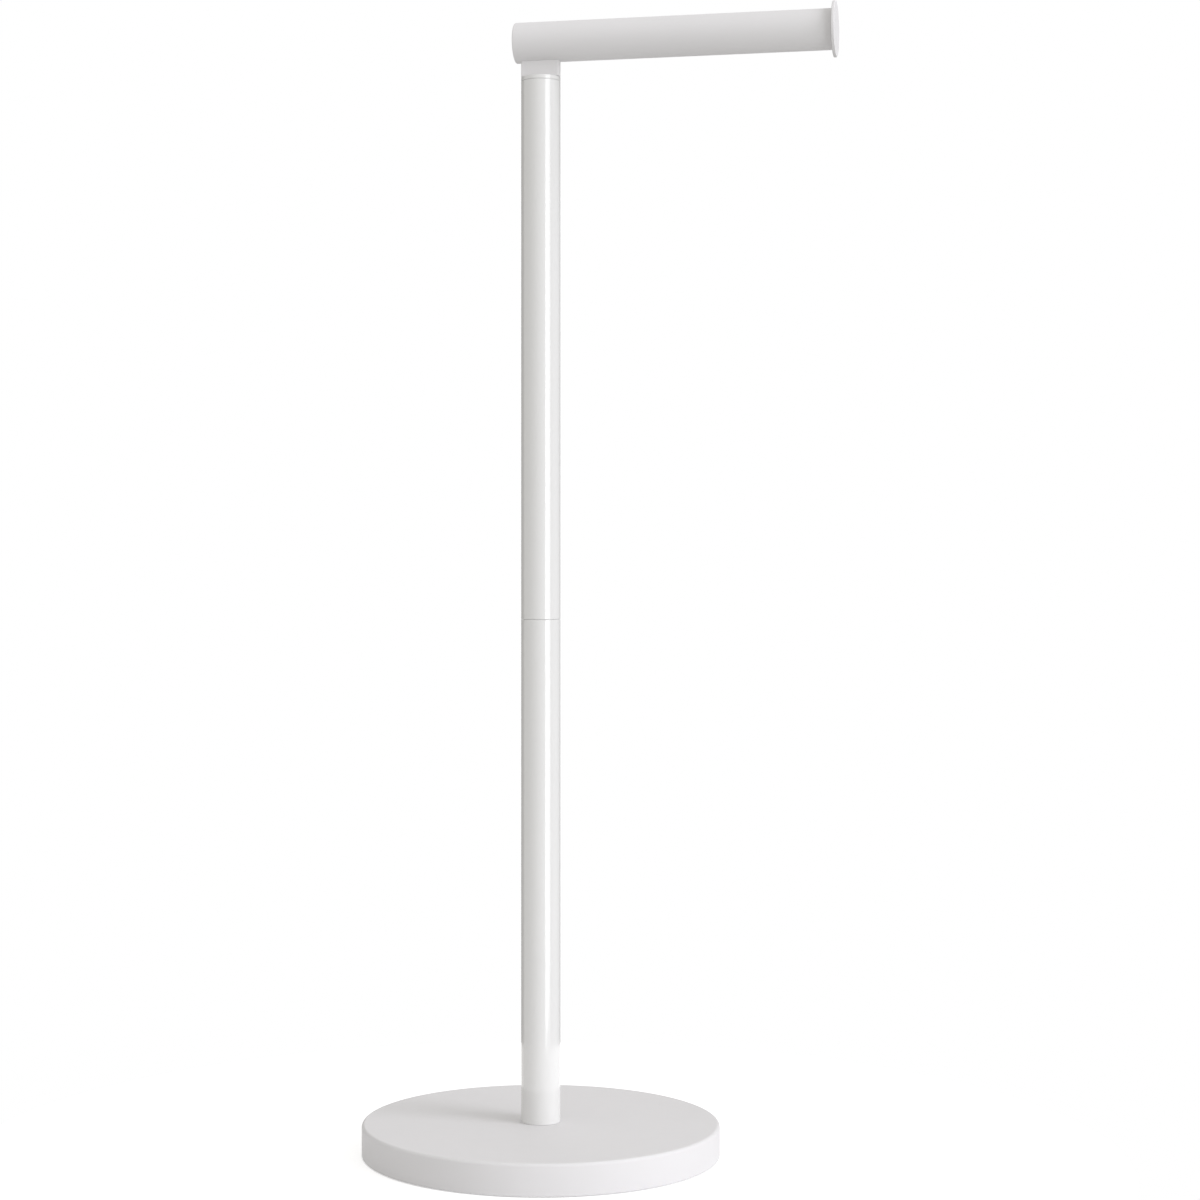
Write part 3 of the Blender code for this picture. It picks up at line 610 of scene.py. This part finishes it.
# Grey cards and lamps; turns are in degrees to the right of the camera, seen from the post
CARD_GREY = 0.15
CARD_ROUGHNESS = 1.0
CARD_RIGHT = (58.0, 165.0)
CARD_LEFT = (-165.0, -115.0)
CARD_DISTANCE = 1.2
CARD_BOTTOM = -0.40
CARD_TOP = 1.10
CARD_STEPS = 24
KEY_TURN = 64.0
KEY_RISE = 26.0
KEY_SPREAD = 30.0
KEY_STRENGTH = 1.26
KEY_TINT = (0.985, 0.985, 1.05)
STRIP_TURN = 27.0
STRIP_DISTANCE = 5.0
STRIP_WIDTH = 3.0
STRIP_HEIGHT = 3.1
STRIP_MIDDLE = 0.67
STRIP_SPREAD = 74.0
STRIP_POWER = 18.0
STRIP_TINT = (0.95, 0.975, 1.0)


def feed(tree, socket, value):
    """Set a socket to a number, or link it to another socket."""
    if isinstance(value, float):
        socket.default_value = value
    else:
        tree.links.new(value, socket)


def math_node(tree, operation, first, second):
    """The result of an operation on two numbers or sockets."""
    node = tree.nodes.new("ShaderNodeMath")
    node.operation = operation
    feed(tree, node.inputs[0], first)
    feed(tree, node.inputs[1], second)
    return node.outputs["Value"]


def seen_rays(tree):
    """One for camera, glossy and transmission rays, and zero for the rest."""
    path = tree.nodes.new("ShaderNodeLightPath").outputs
    mirrored = math_node(tree, "MAXIMUM", path["Is Glossy Ray"], path["Is Transmission Ray"])
    return math_node(tree, "MAXIMUM", path["Is Camera Ray"], mirrored)


def background(tree, colour, strength):
    """A background of one colour; its strength is a number or a socket."""
    node = tree.nodes.new("ShaderNodeBackground")
    node.inputs["Color"].default_value = (*colour, 1.0)
    feed(tree, node.inputs["Strength"], strength)
    return node.outputs["Background"]


def fill_strength(tree):
    """Fill that is a little stronger from above than from below."""
    way = tree.nodes.new("ShaderNodeSeparateXYZ")
    tree.links.new(tree.nodes.new("ShaderNodeTexCoord").outputs["Generated"], way.inputs["Vector"])
    rise = math_node(tree, "MULTIPLY", way.outputs["Z"], FILL_UPWARD)
    return math_node(tree, "ADD", rise, FILL_MIDDLE)


def make_world():
    """White to the eye and in reflections, and a soft fill on the object."""
    world = bpy.data.worlds.new("studio")
    bpy.context.scene.world = world
    world.use_nodes = True
    tree = world.node_tree
    tree.nodes.clear()
    output = tree.nodes.new("ShaderNodeOutputWorld")
    mix = tree.nodes.new("ShaderNodeMixShader")
    tree.links.new(seen_rays(tree), mix.inputs["Fac"])
    tree.links.new(background(tree, FILL_TINT, fill_strength(tree)), mix.inputs[1])
    tree.links.new(background(tree, WHITE, BACKDROP_STRENGTH), mix.inputs[2])
    tree.links.new(mix.outputs["Shader"], output.inputs["Surface"])


def stage_piece(name, shape, material):
    """A piece of the stage from a bmesh."""
    mesh = bpy.data.meshes.new(name)
    shape.to_mesh(mesh)
    shape.free()
    mesh.materials.append(material)
    piece = new_object(name, mesh)
    return piece


def make_floor():
    """A pale round floor that shows white in the light and keeps the shadows."""
    material = bpy.data.materials.new("floor")
    material.use_nodes = True
    tree = material.node_tree
    tree.nodes.clear()
    output = tree.nodes.new("ShaderNodeOutputMaterial")
    pale = tree.nodes.new("ShaderNodeBsdfDiffuse")
    pale.inputs["Color"].default_value = (FLOOR_WHITE, FLOOR_WHITE, FLOOR_WHITE, 1.0)
    lift = tree.nodes.new("ShaderNodeEmission")
    tree.links.new(math_node(tree, "MULTIPLY", seen_rays(tree), FLOOR_LIFT), lift.inputs["Strength"])
    add = tree.nodes.new("ShaderNodeAddShader")
    tree.links.new(pale.outputs["BSDF"], add.inputs[0])
    tree.links.new(lift.outputs["Emission"], add.inputs[1])
    tree.links.new(add.outputs["Shader"], output.inputs["Surface"])
    shape = bmesh.new()
    bmesh.ops.create_circle(shape, cap_ends=True, segments=BASE_STEPS, radius=FLOOR_RADIUS)
    stage_piece("floor", shape, material)


def direction(right_of_camera, elevation):
    """The direction, seen from the post, at an angle to the right of the camera and above the floor."""
    azimuth = CAMERA_TURN - math.pi / 2 + math.radians(right_of_camera)
    rise = math.radians(elevation)
    level = math.cos(rise)
    return Vector((level * math.cos(azimuth), level * math.sin(azimuth), math.sin(rise)))


def grey_card(name, first_turn, last_turn):
    """A curved grey card beside the picture, there for reflections alone."""
    material = bpy.data.materials.new(name)
    material.use_nodes = True
    shader = material.node_tree.nodes["Principled BSDF"]
    shader.inputs["Base Color"].default_value = (CARD_GREY, CARD_GREY, CARD_GREY, 1.0)
    shader.inputs["Roughness"].default_value = CARD_ROUGHNESS
    shape = bmesh.new()
    columns = []
    for index in range(CARD_STEPS + 1):
        turn = first_turn + (last_turn - first_turn) * index / CARD_STEPS
        foot = direction(turn, 0.0) * CARD_DISTANCE
        columns.append([shape.verts.new((foot.x, foot.y, height)) for height in (CARD_BOTTOM, CARD_TOP)])
    for (low, high), (next_low, next_high) in zip(columns, columns[1:]):
        shape.faces.new((low, next_low, next_high, high))
    card = stage_piece(name, shape, material)
    card.visible_camera = False
    card.visible_diffuse = False
    card.visible_shadow = False


def add_lamp(name, kind, colour, strength, towards):
    """A lamp that shines against the given direction and that the camera doesn't see."""
    data = bpy.data.lights.new(name, kind)
    data.color = colour
    data.energy = strength
    lamp = new_object(name, data)
    lamp.rotation_euler = towards.to_track_quat("Z", "Y").to_euler()
    lamp.visible_camera = False
    return lamp


def key_lamp():
    """A distant soft light from the right and above."""
    key = add_lamp("key", "SUN", KEY_TINT, KEY_STRENGTH, direction(KEY_TURN, KEY_RISE))
    key.data.angle = math.radians(KEY_SPREAD)


def strip_lamp():
    """A panel that the gloss coat mirrors; its left edge, the brightest, stands at STRIP_TURN."""
    towards = direction(STRIP_TURN, 0.0)
    aside = UP.cross(towards)
    strip = add_lamp("strip", "AREA", STRIP_TINT, STRIP_POWER, towards)
    strip.data.shape = "RECTANGLE"
    strip.data.size = STRIP_WIDTH
    strip.data.size_y = STRIP_HEIGHT
    strip.data.spread = math.radians(STRIP_SPREAD)
    strip.location = towards * STRIP_DISTANCE + aside * STRIP_WIDTH / 2 + UP * STRIP_MIDDLE


make_world()
make_floor()
grey_card("card_right", *CARD_RIGHT)
grey_card("card_left", *CARD_LEFT)
key_lamp()
strip_lamp()


# Camera

camera_data = bpy.data.cameras.new("camera")
camera_data.sensor_width = CAMERA_SENSOR
camera_data.lens = CAMERA_LENS
camera_data.shift_x, camera_data.shift_y = CAMERA_SHIFT
camera = new_object("camera", camera_data)
camera.location = CAMERA_PLACE
camera.rotation_euler = (math.pi / 2, 0.0, CAMERA_TURN)
bpy.context.scene.camera = camera
bpy.context.scene.view_settings.view_transform = "Standard"
